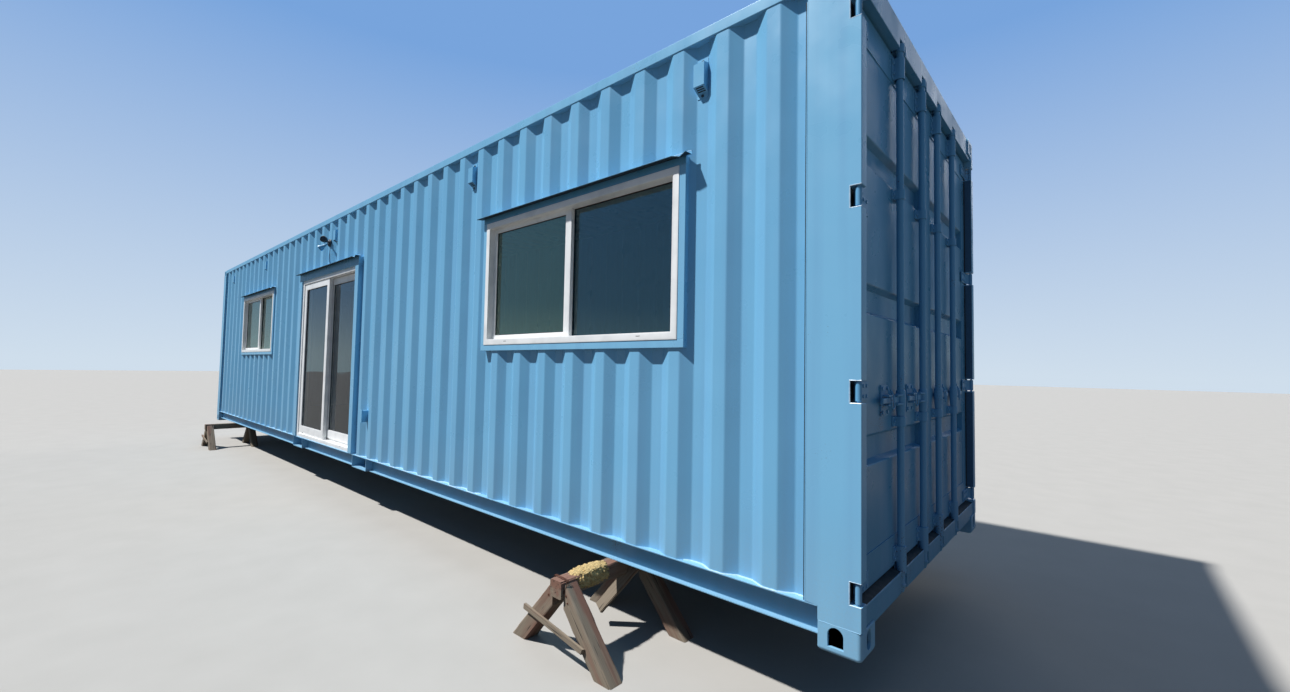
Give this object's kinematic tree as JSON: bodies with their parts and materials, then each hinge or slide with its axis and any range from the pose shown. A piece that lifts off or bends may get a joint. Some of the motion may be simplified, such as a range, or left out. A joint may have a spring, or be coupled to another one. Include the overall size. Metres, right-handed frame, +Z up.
{
  "type": "shipping container cabin",
  "caption": "High-cube steel shipping container made into a cabin, with corrugated walls, sliding windows, a sliding patio door, cargo doors with lock rods, on timber sawhorses.",
  "frame": {"origin": "on the ground, under the middle of the object", "axes": "+X along the body towards the cargo doors, -Y towards the window and patio door wall, +Z up"},
  "size_m": [12.192, 3.199, 3.246],
  "materials": {
    "blue_paint": "satin sky-blue enamel on steel",
    "white_vinyl": "smooth white vinyl extrusion",
    "window_glass": "clear float glass with a low tint",
    "door_rubber": "matte black door gasket",
    "plywood": "oiled marine plywood",
    "dark_lamp_paint": "dark powder coat",
    "weathered_timber": "weathered softwood with old red stain"
  },
  "bodies": {
    "cabin": {"bottom_corner_castings": "blue_paint", "top_corner_castings": "blue_paint", "door_end_posts": "blue_paint", "blind_end_posts": "blue_paint", "top_side_rails": "blue_paint", "bottom_side_rails": "blue_paint", "fork_pocket_sides": "blue_paint", "fork_pocket_plates": "blue_paint", "door_header": "blue_paint", "door_sill": "blue_paint", "cam_keepers": "blue_paint", "blind_end_rails": "blue_paint", "crossmembers": "blue_paint", "floor": "plywood", "roof_panel": "blue_paint", "back_wall": "blue_paint", "blind_end_wall": "blue_paint", "front_wall_piers": "blue_paint", "front_wall_spandrels": "blue_paint", "opening_trim_jambs": "blue_paint", "opening_trim_rails": "blue_paint", "drip_caps": "blue_paint", "near_window_frame": "white_vinyl", "near_window_sash": "white_vinyl", "near_window_glass": "window_glass", "far_window_frame": "white_vinyl", "far_window_sash": "white_vinyl", "far_window_glass": "window_glass", "patio_frame_jambs": "white_vinyl", "patio_frame_rails": "white_vinyl", "patio_fixed_panel": "white_vinyl", "patio_fixed_glass": "window_glass", "vent_covers": "blue_paint", "floodlight": "dark_lamp_paint", "outlet_box": "blue_paint", "sawhorse_beams": "weathered_timber", "sawhorse_legs": "weathered_timber", "sawhorse_braces": "weathered_timber"},
    "near_cargo_door": {"near_leaf": "blue_paint", "near_leaf_gasket": "door_rubber", "near_leaf_hinges": "blue_paint", "near_leaf_fittings": "blue_paint"},
    "far_cargo_door": {"far_leaf": "blue_paint", "far_leaf_gasket": "door_rubber", "far_leaf_hinges": "blue_paint", "far_leaf_fittings": "blue_paint"},
    "near_outer_rod": {"near_outer_lock_rod": "blue_paint"},
    "near_inner_rod": {"near_inner_lock_rod": "blue_paint"},
    "far_inner_rod": {"far_inner_lock_rod": "blue_paint"},
    "far_outer_rod": {"far_outer_lock_rod": "blue_paint"},
    "patio_sliding_door": {"patio_sliding_panel": "white_vinyl", "patio_sliding_glass": "window_glass", "patio_handle": "white_vinyl"}
  },
  "joints": [
    {"name": "near_cargo_door_hinge", "type": "hinge", "parent": "cabin", "child": "near_cargo_door", "pos_m": [6.078, -1.2, 1.83], "axis": [0, 0, -1], "range_deg": [0, 264]},
    {"name": "far_cargo_door_hinge", "type": "hinge", "parent": "cabin", "child": "far_cargo_door", "pos_m": [6.078, 1.2, 1.83], "axis": [0, 0, 1], "range_deg": [0, 265]},
    {"name": "near_outer_rod_turn", "type": "hinge", "parent": "near_cargo_door", "child": "near_outer_rod", "pos_m": [6.073, -0.6, 1.83], "axis": [0, 0, -1], "range_deg": [-110, 0]},
    {"name": "near_inner_rod_turn", "type": "hinge", "parent": "near_cargo_door", "child": "near_inner_rod", "pos_m": [6.073, -0.18, 1.83], "axis": [0, 0, -1], "range_deg": [-110, 0]},
    {"name": "far_inner_rod_turn", "type": "hinge", "parent": "far_cargo_door", "child": "far_inner_rod", "pos_m": [6.073, 0.18, 1.83], "axis": [0, 0, 1], "range_deg": [-110, 0]},
    {"name": "far_outer_rod_turn", "type": "hinge", "parent": "far_cargo_door", "child": "far_outer_rod", "pos_m": [6.073, 0.6, 1.83], "axis": [0, 0, 1], "range_deg": [-110, 0]},
    {"name": "patio_door_slide", "type": "slide", "parent": "cabin", "child": "patio_sliding_door", "axis": [-1, 0, 0], "range_m": [0, 0.75]}
  ]
}
